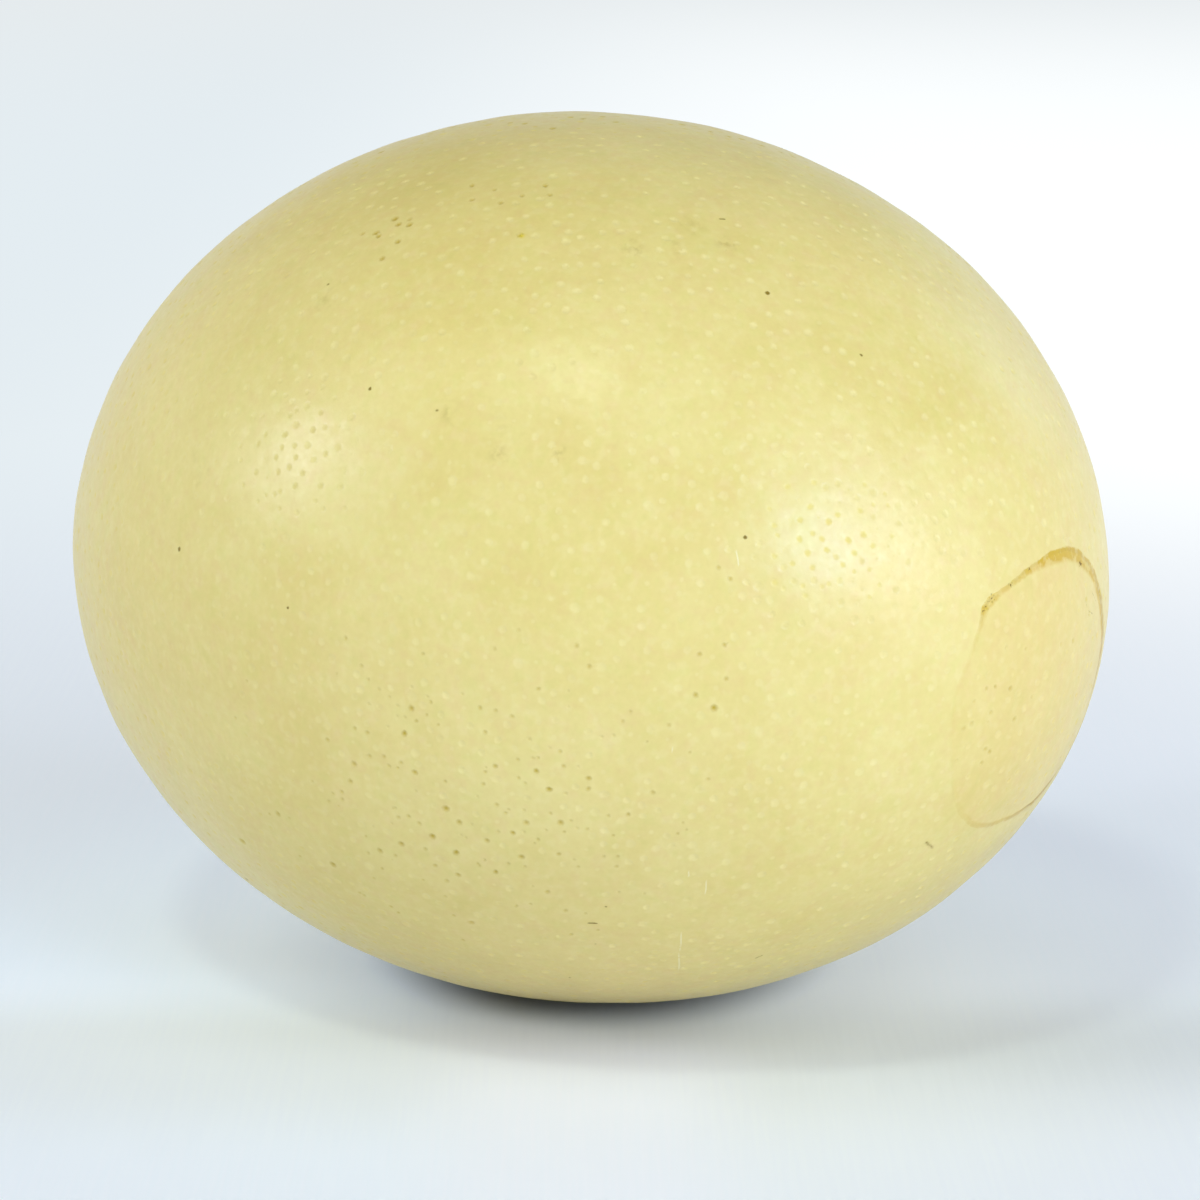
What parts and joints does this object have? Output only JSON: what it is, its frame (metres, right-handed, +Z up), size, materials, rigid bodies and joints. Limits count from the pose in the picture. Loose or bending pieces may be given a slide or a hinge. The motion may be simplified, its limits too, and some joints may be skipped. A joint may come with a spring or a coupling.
{
  "type": "ostrich egg",
  "caption": "Whole cream-coloured ostrich egg with a glossy pitted shell, lying on its side on a small flat spot.",
  "frame": {"origin": "on the rest flat, under the middle of the egg", "axes": "+X along the egg towards its slightly blunter end, +Z up"},
  "size_m": [0.156, 0.129, 0.1285],
  "materials": {
    "eggshell": "cream, softly glossy, finely pitted"
  },
  "bodies": {
    "root": {"ostrich_egg": "eggshell"}
  },
  "joints": []
}
